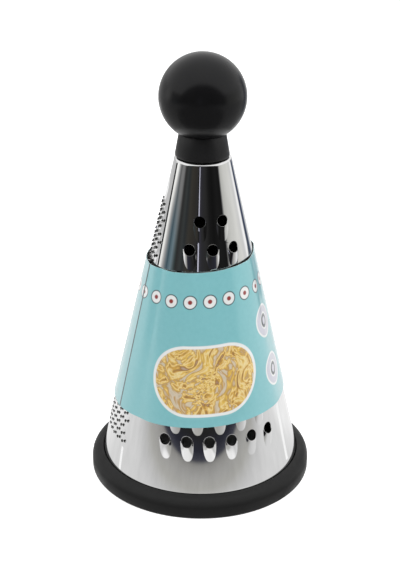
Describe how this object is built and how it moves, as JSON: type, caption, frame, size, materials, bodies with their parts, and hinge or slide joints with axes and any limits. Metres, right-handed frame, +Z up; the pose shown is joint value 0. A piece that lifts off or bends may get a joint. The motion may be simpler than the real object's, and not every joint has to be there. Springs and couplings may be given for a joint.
{
  "type": "cone grater",
  "caption": "Conical sheet-steel kitchen grater with coarse, fine and slicing zones, a rubber base ring, a ball knob on a flared collar and a lift-off card sleeve.",
  "frame": {"origin": "centre of the base ring's flat underside, on the cone's axis", "axes": "+Z up the cone's axis, -Y towards the front, where the coarse zone faces"},
  "size_m": [0.1188, 0.1188, 0.2286],
  "materials": {
    "polished_steel": "mirror-polished stainless sheet",
    "base_rubber": "matte black rubber",
    "collar_plastic": "soft-touch black",
    "knob_plastic": "soft-touch black",
    "insert_brass": "turned",
    "fastener_steel": "zinc-plated",
    "sleeve_card": "glossy laminated card"
  },
  "bodies": {
    "grater": {"grater_cone": "polished_steel", "base_ring": "base_rubber", "neck_collar": "collar_plastic", "ball_knob": "knob_plastic", "knob_insert": "insert_brass", "knob_screw": "fastener_steel", "screw_washer": "fastener_steel"},
    "sleeve": {"card_sleeve": "sleeve_card"}
  },
  "joints": [
    {"name": "sleeve_lift", "type": "slide", "parent": "grater", "child": "sleeve", "axis": [0, 0, 1], "range_m": [0, 0.19]}
  ]
}
